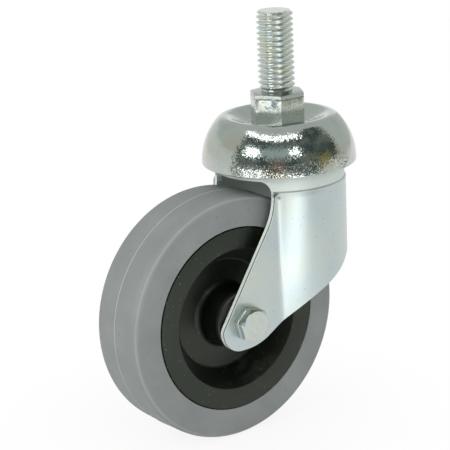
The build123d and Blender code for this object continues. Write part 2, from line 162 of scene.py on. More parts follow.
BOLT_DIAMETER = 6.0
BOLT_PITCH = 1.0
BOLT_ACROSS_FLATS = 10.0
BOLT_HEAD_HEIGHT = 4.0
BOLT_CROWN_DIAMETER = 9.4
BOLT_CROWN_SLOPE = 30.0
BOLT_HEAD_TURN = 43.9
BOLT_CORNER_ROUND = 0.2
BOLT_FOOT_CHAMFER = 0.14
BOLT_GROOVE_LOW = 1.45
BOLT_GROOVE_HIGH = 2.2
BOLT_GROOVE_DEPTH = 0.2
BOLT_FLATS_TOP = 3.0
BOLT_END = 28.75
BOLT_THREAD_LENGTH = 14.0
BOLT_THREAD_OVERLAP = 0.5
BOLT_THREAD_START = 0.3
BOLT_CREST_RADIUS = 2.95
BOLT_ROOT_RADIUS = 2.4
BOLT_END_RADIUS = 2.2

# ON_AXIS is the smallest radius of a turned outline. Points nearer than SAME_POINT are joined.
ON_AXIS = 0.01
SAME_POINT = 0.0005


def box_mm(node):
    """Lowest and highest corner of a CAD node, in millimetres."""
    low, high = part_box(node)
    return low / MM, high / MM


# ---------------------------------------------------------------- shader nodes


def linear(hex_colour):
    """An sRGB hex colour as linear red, green, blue and alpha."""
    channels = [int(hex_colour[i : i + 2], 16) / 255 for i in (1, 3, 5)]
    return [c / 12.92 if c <= 0.04045 else ((c + 0.055) / 1.055) ** 2.4 for c in channels] + [1]


def add(tree, kind, inputs=None, out=0, stops=(), **settings):
    """Adds one shader node: sets or links its inputs, and returns one of its outputs."""
    made = tree.nodes.new("ShaderNode" + kind)
    for name, value in settings.items():
        setattr(made, name, value)
    for key, value in (inputs or {}).items():
        if isinstance(value, bpy.types.NodeSocket):
            tree.links.new(value, made.inputs[key])
        else:
            made.inputs[key].default_value = value
    for i, (position, colour) in enumerate(stops):
        elements = made.color_ramp.elements
        stop = elements[i] if i < len(elements) else elements.new(position)
        stop.position = position
        stop.color = linear(colour)
    return made.outputs[out] if made.outputs else made


def empty_material(name):
    material = bpy.data.materials.new(name)
    material.use_nodes = True
    material.node_tree.nodes.clear()
    return material, material.node_tree


def per_metre(size_mm):
    """The noise scale whose grains are about size_mm across."""
    return 1 / (size_mm * MM)


def blotches(tree, place, centre, reach, grain, squeeze=(1, 1, 1)):
    """Ragged marks of about grain millimetres, within reach of a centre, as a mask.

    A squeeze of 6 along an axis makes the marks six times thinner along it."""
    offset = add(
        tree, "VectorMath", {0: place, 1: [c * MM for c in centre]}, operation="SUBTRACT"
    )
    away = add(tree, "VectorMath", {0: offset}, out="Value", operation="LENGTH")
    near = add(
        tree, "MapRange", {"Value": away, "From Min": reach * MM, "From Max": 0.4 * reach * MM}
    )
    squeezed = add(tree, "VectorMath", {0: place, 1: squeeze}, operation="MULTIPLY")
    ragged = add(
        tree, "TexNoise", {"Vector": squeezed, "Scale": per_metre(grain), "Detail": 1.0}
    )
    marks = add(tree, "MapRange", {"Value": ragged, "From Min": 0.5, "From Max": 0.6})
    return add(tree, "Math", {0: near, 1: marks}, operation="MULTIPLY")


# ---------------------------------------------------------------- materials


def polished_zinc():
    """Bright zinc plate over polished pressed steel: a near mirror with a few dark scratches.

    The polishing grit leaves small tilted facets that break reflections into specks, most of all
    down the side. It is drawn coarser than the real one, so that it shows."""
    material, tree = empty_material("polished_zinc_plate")
    place = add(tree, "TexCoord", out="Object")
    patches = add(tree, "TexNoise", {"Vector": place, "Scale": per_metre(11), "Detail": 2.0})
    tone = add(
        tree,
        "ValToRGB",
        {"Fac": patches},
        stops=[(0.32, "#AEB6B1"), (0.5, "#B7BEB9"), (0.68, "#B9B9AD")],
    )
    grit = add(tree, "TexVoronoi", {"Vector": place, "Scale": per_metre(0.27)}, out="Color")
    centred = add(tree, "VectorMath", {0: grit, 1: (0.5, 0.5, 0.5)}, operation="SUBTRACT")
    height = add(tree, "SeparateXYZ", {"Vector": place}, out="Z")
    lean = add(
        tree,
        "MapRange",
        {
            "Value": height,
            "From Min": DOME_FINE_GRIT_Z * MM,
            "From Max": DOME_COARSE_GRIT_Z * MM,
            "To Min": 0.09,
            "To Max": 0.17,
        },
    )
    tilt = add(tree, "VectorMath", {0: centred, "Scale": lean}, operation="SCALE")
    facing = add(tree, "NewGeometry", out="Normal")
    tipped = add(tree, "VectorMath", {0: facing, 1: tilt}, operation="ADD")
    peel = add(tree, "VectorMath", {0: tipped}, operation="NORMALIZE")
    wear = add(tree, "TexNoise", {"Vector": place, "Scale": per_metre(6), "Detail": 3.0})
    rough = add(
        tree,
        "MapRange",
        {"Value": wear, "From Min": 0.35, "From Max": 0.7, "To Min": 0.09, "To Max": 0.15},
    )
    scratches = blotches(tree, place, DOME_SCRATCHES, 3.6, 2.2, squeeze=(1, 1, 6))
    scratched = add(
        tree,
        "Mix",
        {"Factor": scratches, "A": tone, "B": linear("#70747A")},
        out="Result",
        data_type="RGBA",
    )
    shader = add(
        tree,
        "BsdfPrincipled",
        {"Base Color": scratched, "Metallic": 1.0, "Roughness": rough, "Normal": peel},
    )
    add(tree, "OutputMaterial", {"Surface": shader})
    return material


def cut_edges(tree, place):
    """The fork's cut edges, and the torn line along them between its two faces, as masks."""
    facing = add(tree, "SeparateXYZ", {"Vector": add(tree, "TexCoord", out="Normal")}).node
    side_on = add(tree, "Math", {0: facing.outputs["Y"]}, operation="ABSOLUTE")
    flat_cut = add(tree, "MapRange", {"Value": side_on, "From Min": 0.3, "From Max": 0.15})
    ahead = add(tree, "MapRange", {"Value": facing.outputs["X"], "From Min": 0.0, "From Max": -0.3})
    below = add(tree, "MapRange", {"Value": facing.outputs["Z"], "From Min": -0.3, "From Max": -0.6})
    outer = add(tree, "Math", {0: ahead, 1: below}, operation="MAXIMUM")
    cut = add(tree, "Math", {0: flat_cut, 1: outer}, operation="MULTIPLY")
    across = add(tree, "SeparateXYZ", {"Vector": place}, out="Y")
    out_y = add(tree, "Math", {0: across}, operation="ABSOLUTE")
    torn_y = (CHEEK_FACE - TORN_LINE_DEPTH) * MM
    off_line = add(tree, "Math", {0: out_y, 1: torn_y}, operation="SUBTRACT")
    away = add(tree, "Math", {0: off_line}, operation="ABSOLUTE")
    line = add(tree, "MapRange", {"Value": away, "From Min": 0.3 * MM, "From Max": 0.14 * MM})
    return cut, add(tree, "Math", {0: cut, 1: line}, operation="MULTIPLY")


def matt_plate_and_painted_light(tree, place, cut):
    """Where the fork's plate is matt and pale: wholly on cut edges, and wholly inside and partly
    on the neck, where the pale is painted light.
    """
    outward = add(tree, "VectorMath", {0: place, 1: (1, 1, 0)}, operation="MULTIPLY")
    facing_out = add(
        tree,
        "VectorMath",
        {0: outward, 1: add(tree, "TexCoord", out="Normal")},
        out="Value",
        operation="DOT_PRODUCT",
    )
    # Painted light: the faces inside the fork are made pale and matt, so that the hollow reads lit.
    inside = add(
        tree, "MapRange", {"Value": facing_out, "From Min": -2 * MM, "From Max": -6 * MM}
    )
    # Painted light: the neck above the ledge is made half pale and matt.
    neck = add(
        tree,
        "MapRange",
        {
            "Value": add(tree, "SeparateXYZ", {"Vector": place}, out="Z"),
            "From Min": (LEDGE_Z - 0.7) * MM,
            "From Max": (LEDGE_Z + 0.2) * MM,
            "To Max": 0.55,
        },
    )
    edges = add(tree, "Math", {0: cut, 1: neck}, operation="MAXIMUM")
    return add(tree, "Math", {0: edges, 1: inside}, operation="MAXIMUM")


def satin_zinc():
    """Zinc plate over drawn sheet as it left the press: satin, faintly blue, with a few small
    dark pits. Cut edges are pale and matt with a dark torn line along them. Inside the fork, and
    partly round the neck, the plate is thin and painted pale and matt, a painted light that keeps
    the hollow pale. A dark patch where the ledge meets the near cheek's front edge is painted
    shade. Pits and skin are drawn coarser than real ones, so that they show."""
    material, tree = empty_material("satin_zinc_plate")
    place = add(tree, "TexCoord", out="Object")
    clouds = add(tree, "TexNoise", {"Vector": place, "Scale": per_metre(16), "Detail": 3.0})
    tone = add(
        tree,
        "ValToRGB",
        {"Fac": clouds},
        stops=[(0.3, "#B6C3C6"), (0.5, "#BCC7C5"), (0.7, "#C1C8C1")],
    )
    dots = add(tree, "TexNoise", {"Vector": place, "Scale": per_metre(0.55), "Detail": 1.0})
    unpitted = add(tree, "MapRange", {"Value": dots, "From Min": 0.225, "From Max": 0.275})
    pitted = add(
        tree,
        "Mix",
        {"Factor": unpitted, "A": linear("#7F847E"), "B": tone},
        out="Result",
        data_type="RGBA",
    )
    cut, torn = cut_edges(tree, place)
    matt = matt_plate_and_painted_light(tree, place, cut)
    # The pale is the cut edges' own colour, and painted light inside the fork and on the neck.
    pale = add(
        tree,
        "Mix",
        {"Factor": matt, "A": pitted, "B": linear("#DCE6DE")},
        out="Result",
        data_type="RGBA",
    )
    # Painted shade: a dark patch where the ledge meets the near cheek's front edge. It joins the
    # torn line's own dark.
    pinch_shade = blotches(tree, place, PINCH_SHADE_PLACE, 2.1, 2.8)
    dark = add(tree, "Math", {0: pinch_shade, 1: torn}, operation="MAXIMUM")
    torn_and_shade_painted = add(
        tree,
        "Mix",
        {"Factor": dark, "A": pale, "B": linear("#45463F")},
        out="Result",
        data_type="RGBA",
    )
    skin = add(tree, "TexNoise", {"Vector": place, "Scale": per_metre(0.45), "Detail": 3.0})
    texture = add(tree, "Bump", {"Height": skin, "Distance": 0.009 * MM, "Strength": 1.0})
    metal = add(tree, "MapRange", {"Value": matt, "To Min": 0.84, "To Max": 0.05})
    rough = add(tree, "MapRange", {"Value": matt, "To Min": 0.34, "To Max": 0.6})
    shader = add(
        tree,
        "BsdfPrincipled",
        {"Base Color": torn_and_shade_painted, "Metallic": metal, "Roughness": rough, "Normal": texture},
    )
    add(tree, "OutputMaterial", {"Surface": shader})
    return material


def forged_band(tree, place, low, high):
    """The rough forging left between two heights, as three masks: the band itself, the skin that
    no pit or burr line breaks, and the turned crown above the band, up to the seat."""
    height = add(tree, "SeparateXYZ", {"Vector": place}, out="Z")
    above = add(
        tree,
        "MapRange",
        {"Value": height, "From Min": (low - 0.15) * MM, "From Max": (low + 0.15) * MM},
    )
    below = add(
        tree,
        "MapRange",
        {"Value": height, "From Min": (high + 0.15) * MM, "From Max": (high - 0.15) * MM},
    )
    band = add(tree, "Math", {0: above, 1: below}, operation="MULTIPLY")
    pocks = add(tree, "TexNoise", {"Vector": place, "Scale": per_metre(0.5), "Detail": 3.0})
    unpitted = add(tree, "MapRange", {"Value": pocks, "From Min": 0.34, "From Max": 0.44})
    jag = add(tree, "TexNoise", {"Vector": place, "Scale": per_metre(0.9), "Detail": 2.0})
    swing = add(tree, "MapRange", {"Value": jag, "To Min": -0.3 * MM, "To Max": 0.3 * MM})
    burr = add(tree, "Math", {0: height, 1: swing}, operation="ADD")
    gap = add(tree, "Math", {0: burr, 1: high * MM}, operation="SUBTRACT")
    off_line = add(tree, "Math", {0: gap}, operation="ABSOLUTE")
    unburred = add(
        tree, "MapRange", {"Value": off_line, "From Min": 0.05 * MM, "From Max": 0.15 * MM}
    )
    skin = add(tree, "Mix", {"Factor": band, "A": 1.0, "B": unpitted}, out="Result")
    unbroken = add(tree, "Math", {0: skin, 1: unburred}, operation="MULTIPLY")
    under_seat = add(
        tree, "MapRange", {"Value": height, "From Min": 0.3 * MM, "From Max": 0.1 * MM}
    )
    crown = add(tree, "Math", {0: under_seat, 1: below}, operation="SUBTRACT", use_clamp=True)
    return band, unbroken, crown


def bright_steel(name, warm, middle, cool, roughness, dent=0.2, band=None):
    """Bright steel of the small pieces, headed and zinc-plated or ground: soft reflections over
    shallow dents. Passivation leaves the plate faintly blue in places and straw-coloured in
    others. A band of heights, where there is one, shows the forging's pits and burr. The skin is
    drawn coarser than the real one, so that it shows."""
    material, tree = empty_material(name)
    place = add(tree, "TexCoord", out="Object")
    clouds = add(tree, "TexNoise", {"Vector": place, "Scale": per_metre(4), "Detail": 3.0})
    tone = add(
        tree, "ValToRGB", {"Fac": clouds}, stops=[(0.36, cool), (0.5, middle), (0.66, warm)]
    )
    skin = add(tree, "TexNoise", {"Vector": place, "Scale": per_metre(0.4), "Detail": 2.0})
    dents = add(tree, "TexNoise", {"Vector": place, "Scale": per_metre(1.6), "Detail": 1.0})
    waves = add(tree, "Bump", {"Height": dents, "Distance": dent * MM, "Strength": 1.0})
    texture = add(
        tree,
        "Bump",
        {"Height": skin, "Distance": 0.004 * MM, "Strength": 1.0, "Normal": waves},
    )
    rough = roughness
    if band:
        forged, unbroken, crown = forged_band(tree, place, *band)
        broken = add(
            tree,
            "Mix",
            {"Factor": unbroken, "A": linear("#7C827A"), "B": tone},
            out="Result",
            data_type="RGBA",
        )
        tone = add(
            tree,
            "Mix",
            {"Factor": crown, "A": broken, "B": linear("#A6ADA7")},
            out="Result",
            data_type="RGBA",
        )
        rough = add(
            tree,
            "MapRange",
            {"Value": forged, "To Min": roughness, "To Max": roughness + 0.03},
        )
        texture = add(
            tree,
            "Bump",
            {"Height": unbroken, "Distance": 0.03 * MM, "Strength": 1.0, "Normal": texture},
        )
    shader = add(
        tree,
        "BsdfPrincipled",
        {"Base Color": tone, "Metallic": 1.0, "Roughness": rough, "Normal": texture},
    )
    add(tree, "OutputMaterial", {"Surface": shader})
    return material


def grey_rubber():
    """Moulded non-marking rubber: matt mid grey and slightly mottled, with a pale flash line round
    the middle of the tread, a painted highlight along each shoulder and a few dark specks. The
    mould's skin is drawn coarser than the real one, so that it shows."""
    material, tree = empty_material("moulded_grey_rubber")
    place = add(tree, "TexCoord", out="Object")
    clouds = add(tree, "TexNoise", {"Vector": place, "Scale": per_metre(13), "Detail": 4.0})
    tone = add(
        tree,
        "ValToRGB",
        {"Fac": clouds},
        stops=[(0.3, "#7F8484"), (0.5, "#848988"), (0.7, "#8A8E8D")],
    )
    across = add(tree, "SeparateXYZ", {"Vector": place}, out="Y")
    out_y = add(tree, "Math", {0: across}, operation="ABSOLUTE")
    flash = add(tree, "MapRange", {"Value": out_y, "From Min": 0.24 * MM, "From Max": 0.1 * MM})
    # Painted highlight: a pale line round each shoulder, where its rounding catches the light.
    off_shoulder = add(
        tree, "Math", {0: out_y, 1: TYRE_SHOULDER_HIGHLIGHT * MM}, operation="SUBTRACT"
    )
    gap = add(tree, "Math", {0: off_shoulder}, operation="ABSOLUTE")
    shoulder_highlight = add(
        tree,
        "MapRange",
        {"Value": gap, "From Min": 0.42 * MM, "From Max": 0.06 * MM, "To Max": 0.36},
    )
    flash_and_highlight = add(tree, "Math", {0: flash, 1: shoulder_highlight}, operation="MAXIMUM")
    flash_lined_and_lit = add(
        tree,
        "Mix",
        {"Factor": flash_and_highlight, "A": tone, "B": linear("#AEB1AA")},
        out="Result",
        data_type="RGBA",
    )
    dots = add(tree, "TexNoise", {"Vector": place, "Scale": per_metre(0.7), "Detail": 0.0})
    unspecked = add(tree, "MapRange", {"Value": dots, "From Min": 0.13, "From Max": 0.16})
    specked = add(
        tree,
        "Mix",
        {"Factor": unspecked, "A": linear("#4F5250"), "B": flash_lined_and_lit},
        out="Result",
        data_type="RGBA",
    )
    skin = add(tree, "TexNoise", {"Vector": place, "Scale": per_metre(0.6), "Detail": 3.0})
    texture = add(tree, "Bump", {"Height": skin, "Distance": 0.01 * MM, "Strength": 1.0})
    shader = add(
        tree,
        "BsdfPrincipled",
        {
            "Base Color": specked,
            "Roughness": 0.6,
            "IOR": 1.5,
            "Specular IOR Level": 0.4,
            "Normal": texture,
        },
    )
    add(tree, "OutputMaterial", {"Surface": shader})
    return material


def black_polypropylene():
    """Moulded polypropylene: black with a soft green-grey sheen, a fine skin, specks of dust and
    faint scuffs low in the recess. Round the tyre's inner edge the flange is painted near black
    with no sheen, a painted shade in the gap, broken by crumbs. The mould's skin is drawn coarser
    than the real one, so that it shows."""
    material, tree = empty_material("moulded_black_polypropylene")
    place = add(tree, "TexCoord", out="Object")
    clouds = add(tree, "TexNoise", {"Vector": place, "Scale": per_metre(8), "Detail": 4.0})
    tone = add(tree, "ValToRGB", {"Fac": clouds}, stops=[(0.3, "#060805"), (0.7, "#0D110A")])
    dots = add(tree, "TexNoise", {"Vector": place, "Scale": per_metre(0.6), "Detail": 0.0})
    dust = add(tree, "MapRange", {"Value": dots, "From Min": 0.82, "From Max": 0.85})
    dusty = add(
        tree,
        "Mix",
        {"Factor": dust, "A": tone, "B": linear("#6A6E62")},
        out="Result",
        data_type="RGBA",
    )
    offset = add(
        tree, "VectorMath", {0: place, 1: (AXLE_X * MM, 0, AXLE_Z * MM)}, operation="SUBTRACT"
    )
    in_plane = add(tree, "VectorMath", {0: offset, 1: (1, 0, 1)}, operation="MULTIPLY")
    radius = add(tree, "VectorMath", {0: in_plane}, out="Value", operation="LENGTH")
    # Painted shade: a near-black ring without sheen just inside the rim, for the gap under the tyre.
    gap = add(
        tree,
        "MapRange",
        {
            "Value": radius,
            "From Min": (RIM_RADIUS - 0.5) * MM,
            "From Max": (RIM_RADIUS - 0.2) * MM,
        },
    )
    uncrumbed = add(tree, "MapRange", {"Value": dots, "From Min": 0.74, "From Max": 0.68})
    gap_shade = add(tree, "Math", {0: gap, 1: uncrumbed}, operation="MULTIPLY")
    shaded_gap = add(
        tree,
        "Mix",
        {"Factor": gap_shade, "A": dusty, "B": linear("#010101")},
        out="Result",
        data_type="RGBA",
    )
    scuffs = blotches(tree, place, RECESS_SCUFFS, 9.0, 2.6)
    faint = add(tree, "Math", {0: scuffs, 1: 0.06}, operation="MULTIPLY")
    scuffed = add(
        tree,
        "Mix",
        {"Factor": faint, "A": shaded_gap, "B": linear("#6A6E62")},
        out="Result",
        data_type="RGBA",
    )
    sheen = add(tree, "MapRange", {"Value": gap_shade, "To Min": 0.52, "To Max": 0.0})
    skin = add(tree, "TexNoise", {"Vector": place, "Scale": per_metre(0.5), "Detail": 3.0})
    texture = add(tree, "Bump", {"Height": skin, "Distance": 0.008 * MM, "Strength": 1.0})
    shader = add(
        tree,
        "BsdfPrincipled",
        {
            "Base Color": scuffed,
            "Roughness": 0.38,
            "IOR": 1.49,
            "Specular IOR Level": sheen,
            "Specular Tint": linear("#F2FFEC"),
            "Normal": texture,
        },
    )
    add(tree, "OutputMaterial", {"Surface": shader})
    return material


def plain_moulding(name, colour, shade, roughness):
    """Moulded nylon or seal rubber: faintly uneven colour, seen only in gaps."""
    material, tree = empty_material(name)
    place = add(tree, "TexCoord", out="Object")
    clouds = add(tree, "TexNoise", {"Vector": place, "Scale": per_metre(4), "Detail": 2.0})
    tone = add(tree, "ValToRGB", {"Fac": clouds}, stops=[(0.3, shade), (0.7, colour)])
    shader = add(tree, "BsdfPrincipled", {"Base Color": tone, "Roughness": roughness})
    add(tree, "OutputMaterial", {"Surface": shader})
    return material


MATERIALS = {
    "dome_zinc": polished_zinc(),
    "fork_zinc": satin_zinc(),
    # The stem: a smooth rolled thread, over flats left as forged.
    "stem_zinc": bright_steel(
        "rolled_zinc_plate",
        "#D8DBD0",
        "#D6DBD5",
        "#D0DADA",
        0.26,
        dent=0.03,
        band=(STEM_TRIM_LINE, STEM_BURR_LINE),
    ),
    # The fixings: headed, duller and more dented than the stem.
    "hardware_zinc": bright_steel("headed_zinc_plate", "#C3C5B6", "#BFC6C0", "#B7C3C4", 0.28),
    # The balls: ground, the shiniest of the three and plain steel in colour.
    "ball_steel": bright_steel("ground_steel", "#C6C6C4", "#C2C3C4", "#BFC1C4", 0.15),
    "rubber_grey": grey_rubber(),
    "polypropylene_black": black_polypropylene(),
    "nylon_black": plain_moulding("moulded_black_nylon", "#20201F", "#181817", 0.4),
    "nylon_natural": plain_moulding("moulded_natural_nylon", "#DEDDD3", "#D2D1C5", 0.4),
    "seal_rubber": plain_moulding("moulded_black_rubber", "#1D1D1C", "#161615", 0.7),
}

# ---------------------------------------------------------------- mesh helpers


def arc(centre, radius, start, end, steps):
    """Points on an arc, from start to end degrees."""
    points = []
    for i in range(steps + 1):
        angle = math.radians(start + (end - start) * i / steps)
        points.append((centre[0] + radius * math.cos(angle), centre[1] + radius * math.sin(angle)))
    return points


def rounded(corners, steps):
    """A closed outline from (x, y, round radius) corners."""
    outline = []
    for i, (x, y, radius) in enumerate(corners):
        here = Vector((x, y))
        if radius <= 0:
            outline.append((x, y))
            continue
        before = (Vector(corners[i - 1][:2]) - here).normalized()
        after = (Vector(corners[(i + 1) % len(corners)][:2]) - here).normalized()
        half_turn = before.angle(after) / 2
        centre = here + (before + after).normalized() * radius / math.sin(half_turn)
        start = here + before * radius / math.tan(half_turn) - centre
        end = here + after * radius / math.tan(half_turn) - centre
        sweep = start.angle_signed(end)
        for step in range(steps + 1):
            turned = start.copy()
            turned.rotate(Matrix.Rotation(-sweep * step / steps, 2))
            outline.append(tuple(centre + turned))
    return outline


def piece(name, bm, slot, body, replaced, crease=32):
    """Makes the object, shades it, ties it to its body and hides the CAD node it stands for."""
    bmesh.ops.remove_doubles(bm, verts=bm.verts, dist=SAME_POINT * MM)
    bmesh.ops.dissolve_degenerate(bm, dist=SAME_POINT * MM, edges=bm.edges)
    bmesh.ops.recalc_face_normals(bm, faces=bm.faces)
    mesh = bpy.data.meshes.new(name)
    bm.to_mesh(mesh)
    bm.free()
    mesh.polygons.foreach_set("use_smooth", [True] * len(mesh.polygons))
    mesh.set_sharp_from_angle(angle=math.radians(crease))
    made = bpy.data.objects.new(name, mesh)
    bpy.context.scene.collection.objects.link(made)
    mesh.materials.append(MATERIALS[slot])
    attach(made, body)
    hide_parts(replaced)


def ring(bm, points):
    """Corners of the mesh at points given in millimetres."""
    return [bm.verts.new(Vector(p) * MM) for p in points]


def bridge(bm, first, second):
    """Quads between two rings of equally many points."""
    count = len(first)
    for i in range(count):
        bm.faces.new((first[i], first[(i + 1) % count], second[(i + 1) % count], second[i]))


def circle(radius, height, segments):
    """Points of a circle about the Z axis."""
    turns = [2 * math.pi * i / segments for i in range(segments)]
    return [Vector((radius * math.cos(t), radius * math.sin(t), height)) for t in turns]


def spin(bm, outline, place, segments):
    """Turns a closed outline of (radius, height) points about the Z axis of place."""
    rings = [ring(bm, [place @ p for p in circle(r, h, segments)]) for r, h in outline]
    for i in range(len(rings)):
        bridge(bm, rings[i - 1], rings[i])


def hexagon(across_flats, corner_round, turn):
    """A hexagon's outline with rounded corners, as (x, y) points."""
    steps = 5
    flat_steps = 10
    corner_radius = across_flats / math.sqrt(3)
    corners = []
    for i in range(6):
        angle = math.radians(60 * i + turn)
        corners.append(
            (corner_radius * math.cos(angle), corner_radius * math.sin(angle), corner_round)
        )
    points = rounded(corners, steps)
    outline = []
    for i, point in enumerate(points):
        following = points[(i + 1) % len(points)]
        outline.append(point)
        if i % (steps + 1) == steps:
            for step in range(1, flat_steps):
                share = step / flat_steps
                outline.append(tuple(a + (b - a) * share for a, b in zip(point, following)))
    return outline


def hex_levels(bm, across_flats, levels, top, crown_radius, slope, place, turn, corner):
    """A hexagon head from (height, inset, tear) levels, bevelled at the top to a crown circle.

    A torn level wanders up and down by its tear. Returns the crown circle's ring."""
    wander = random.Random(7)
    previous = None
    for height, inset, tear in levels:
        outline = hexagon(across_flats - 2 * inset, corner, turn)
        current = ring(
            bm, [place @ Vector((x, y, height + tear * wander.uniform(-1, 1))) for x, y in outline]
        )
        if previous:
            bridge(bm, previous, current)
        else:
            bm.faces.new(list(reversed(current)))
        previous = current
    bevel = []
    crown = []
    for x, y in outline:
        reach = math.hypot(x, y)
        drop = max(reach - crown_radius, 0.0) * math.tan(math.radians(slope))
        bevel.append((x, y, top - drop))
        crown.append((x * crown_radius / reach, y * crown_radius / reach, top))
    bevel_ring = ring(bm, [place @ Vector(p) for p in bevel])
    bridge(bm, previous, bevel_ring)
    crown_ring = ring(bm, [place @ Vector(p) for p in crown])
    bridge(bm, bevel_ring, crown_ring)
    return crown_ring


def thread(bm, place, pitch, crest, root, bottom, top, start, end_radius, undercut, segments):
    """A right-hand thread between two heights. Rows of points follow the helix."""
    # Rows of points per pitch, flats as shares of half a pitch, and how far flanks are rounded.
    samples = 12
    crest_flat = 0.10
    root_flat = 0.16
    easing = 0.35

    def profile(phase):
        away = abs((phase + 0.5) % 1.0 - 0.5) * 2
        rise = (away - crest_flat) / (1 - crest_flat - root_flat)
        rise = min(max(rise, 0.0), 1.0)
        smooth = rise * rise * (3 - 2 * rise)
        return crest - (crest - root) * (smooth * easing + rise * (1 - easing))

    def radius_at(height, share):
        phase = (height - start) / pitch - share
        limit_top = end_radius + max(top - height, 0.0)
        limit_bottom = root + max(height - bottom - undercut, 0.0)
        return min(profile(phase), limit_top, limit_bottom)

    turns = math.ceil((top - bottom) / pitch) + 2
    rows = []
    for k in range(turns * samples + 1):
        base = start + pitch * (k / samples - 1) + math.floor((bottom - start) / pitch) * pitch
        row = []
        for j in range(segments):
            share = j / segments
            height = min(max(base + pitch * share, bottom), top)
            radius = radius_at(height, share)
            angle = 2 * math.pi * share
            row.append((radius * math.cos(angle), radius * math.sin(angle), height))
        rows.append(ring(bm, [place @ Vector(p) for p in row]))
    for k in range(len(rows) - 1):
        for j in range(segments):
            if j < segments - 1:
                corners = (rows[k][j], rows[k][j + 1], rows[k + 1][j + 1], rows[k + 1][j])
            elif k + samples + 1 < len(rows):
                above = [row[0] for row in rows[k + samples : k + samples + 2]]
                corners = (rows[k][j], above[0], above[1], rows[k + 1][j])
            else:
                continue
            bm.faces.new(corners)


# ---------------------------------------------------------------- fixed head


def finished_stem():
    """Threaded stem, hexagon, kingpin and the riveted end below, from one blank."""
    low, _ = box_mm("stem")
    bm = bmesh.new()
    here = Matrix.Identity(4)
    thread(
        bm,
        here,
        THREAD_PITCH,
        THREAD_DIAMETER / 2,
        THREAD_ROOT_DIAMETER / 2,
        0.0,
        THREAD_LENGTH,
        THREAD_START,
        THREAD_END_DIAMETER / 2,
        UNDERCUT_HEIGHT,
        segments=128,
    )
    bmesh.ops.remove_doubles(bm, verts=bm.verts, dist=SAME_POINT * MM)
    bm.verts.ensure_lookup_table()
    open_edges = [e for e in bm.edges if e.is_boundary]
    top_edges = [e for e in open_edges if e.verts[0].co.z > THREAD_LENGTH / 2 * MM]
    bottom_edges = [e for e in open_edges if e.verts[0].co.z < THREAD_LENGTH / 2 * MM]
    bmesh.ops.triangle_fill(bm, edges=top_edges, use_beauty=True)
    base = -STEM_HEX_HEIGHT
    # Height, inset and tear of each level, from the foot's chamfer to the top of the flats.
    levels = [
        (base, STEM_FOOT_CHAMFER, 0.0),
        (base + STEM_FOOT_CHAMFER, STEM_TRIM_STEP, 0.0),
        (STEM_TRIM_LINE - 0.3, STEM_TRIM_STEP, 0.0),
        (STEM_TRIM_LINE, 0.0, 0.04),
        (STEM_BURR_LINE - 0.12, 0.0, 0.1),
        (STEM_BURR_LINE, 0.07, 0.1),
        (STEM_BURR_LINE + 0.1, 0.02, 0.05),
        (STEM_FLATS_TOP, 0.0, 0.0),
    ]
    crown = hex_levels(
        bm,
        STEM_ACROSS_FLATS,
        levels,
        0.0,
        STEM_CROWN_DIAMETER / 2,
        STEM_CROWN_SLOPE,
        here,
        turn=0.0,
        corner=STEM_CORNER_ROUND,
    )
    rim = [bm.edges.get((crown[i - 1], crown[i])) for i in range(len(crown))]
    bmesh.ops.triangle_fill(bm, edges=rim + bottom_edges, use_beauty=True)
    washer_z = low.z + RIVET_HEAD_HEIGHT
    shoulder_z = washer_z + KINGPIN_NECK_LENGTH
    rivet_radius = RIVET_HEAD_DIAMETER / 2
    rivet_round = (rivet_radius - RIVET_HEAD_ROUND, low.z + RIVET_HEAD_ROUND)
    pin = [
        (ON_AXIS, base),
        (KINGPIN_DIAMETER / 2, base),
        (KINGPIN_DIAMETER / 2, shoulder_z),
        (KINGPIN_NECK_DIAMETER / 2, shoulder_z),
        (KINGPIN_NECK_DIAMETER / 2, washer_z),
        (rivet_radius, washer_z),
    ]
    pin += arc(rivet_round, RIVET_HEAD_ROUND, 0, -90, 8)
    pin += [
        (RIVET_DIMPLE_RADIUS, low.z),
        (RIVET_DIMPLE_FLOOR_RADIUS, low.z + RIVET_DIMPLE_FLOOR_DEPTH),
        (ON_AXIS, low.z + RIVET_DIMPLE_DEPTH),
    ]
    spin(bm, pin, here, segments=96)
    piece("threaded_stem", bm, "stem_zinc", "head", "stem", crease=25)


